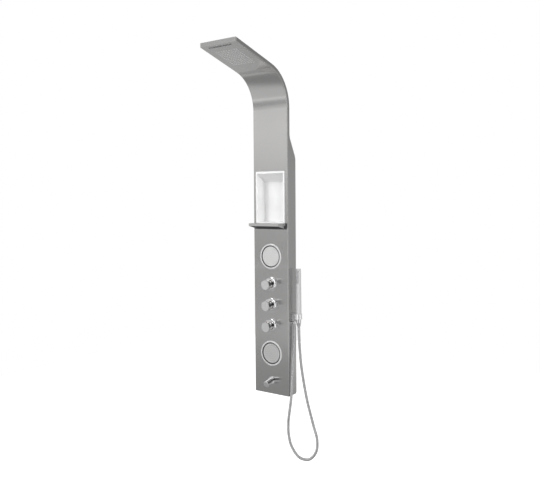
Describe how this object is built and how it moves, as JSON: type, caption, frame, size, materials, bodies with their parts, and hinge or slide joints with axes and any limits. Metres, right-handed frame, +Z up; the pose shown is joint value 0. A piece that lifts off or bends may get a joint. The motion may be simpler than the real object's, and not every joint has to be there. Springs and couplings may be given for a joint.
{
  "type": "shower panel column",
  "caption": "Stainless wall shower column with a curved rain arm, body sprays, a white niche over a shelf, three knobs, a bath spout and a square hand shower on a hose",
  "frame": {"origin": "Middle of the upper wall bracket's two screws, on the wall plane", "axes": "+X to the right seen from the front, +Y into the wall, +Z up"},
  "size_m": [0.335, 0.45, 1.9436],
  "materials": {
    "brushed_steel": "brushed along the column",
    "satin_steel": "satin",
    "zinc_steel": "zinc plated",
    "white_plastic": "gloss white",
    "dark_plastic": "satin dark grey",
    "black_plastic": "satin black",
    "grey_plastic": "satin grey",
    "red_plastic": "gloss red",
    "pipe_plastic": "pale hose",
    "silicone": "pale grey silicone",
    "chrome": "polished",
    "hose_steel": "ribbed steel",
    "brass": "as machined"
  },
  "bodies": {
    "panel": {"column_shell": "brushed_steel", "arm_cover": "brushed_steel", "upper_hanger": "zinc_steel", "lower_hanger": "zinc_steel", "upper_wall_bracket": "zinc_steel", "lower_wall_bracket": "zinc_steel", "niche_insert": "white_plastic", "shelf_rail": "dark_plastic", "shelf": "satin_steel", "shelf_screws": "satin_steel", "rain_chamber": "black_plastic", "rain_nozzles": "silicone", "waterfall_box": "satin_steel", "upper_jet_ring": "chrome", "upper_jet_cup": "black_plastic", "upper_jet_plate": "satin_steel", "upper_jet_nut": "black_plastic", "lower_jet_ring": "chrome", "lower_jet_cup": "black_plastic", "lower_jet_plate": "satin_steel", "lower_jet_nut": "black_plastic", "valve_body": "brass", "valve_nuts": "brass", "hot_inlet": "brass", "cold_inlet": "brass", "diverter_flange": "chrome", "flow_flange": "chrome", "temperature_flange": "chrome", "rain_pipe": "pipe_plastic", "waterfall_pipe": "pipe_plastic", "jet_pipe": "pipe_plastic", "handset_pipe": "pipe_plastic", "spout_pipe": "pipe_plastic", "spout": "chrome", "spout_nut": "brass", "aerator": "grey_plastic", "hose_outlet": "chrome", "outlet_fixing_nut": "brass", "outlet_hose_nut": "chrome", "holder": "chrome", "hose": "hose_steel"},
    "diverter": {"diverter_knob": "chrome", "diverter_spindle": "brass", "diverter_cap": "satin_steel"},
    "flow": {"flow_knob": "chrome", "flow_spindle": "brass", "flow_cap": "satin_steel"},
    "temperature": {"temperature_knob": "chrome", "temperature_spindle": "brass", "temperature_cap": "satin_steel"},
    "safety_stop": {"stop_button": "red_plastic"},
    "hand_shower": {"handset_body": "chrome", "spray_face": "grey_plastic", "handset_nut": "chrome"}
  },
  "joints": [
    {"name": "diverter_turn", "type": "hinge", "parent": "panel", "child": "diverter", "pos_m": [0, -0.068, -0.566], "axis": [0, -1, 0], "range_deg": [0, 270]},
    {"name": "flow_turn", "type": "hinge", "parent": "panel", "child": "flow", "pos_m": [0, -0.068, -0.668], "axis": [0, -1, 0], "range_deg": [0, 90]},
    {"name": "temperature_turn", "type": "hinge", "parent": "panel", "child": "temperature", "pos_m": [0, -0.068, -0.77], "axis": [0, -1, 0], "range_deg": [-180, 60]},
    {"name": "stop_press", "type": "slide", "parent": "temperature", "child": "safety_stop", "axis": [0, 0, -1], "range_m": [0, 0.0018], "stiffness_N_per_m": 900},
    {"name": "handset_lift", "type": "slide", "parent": "panel", "child": "hand_shower", "axis": [0, 0, 1], "range_m": [0, 0.06]}
  ]
}
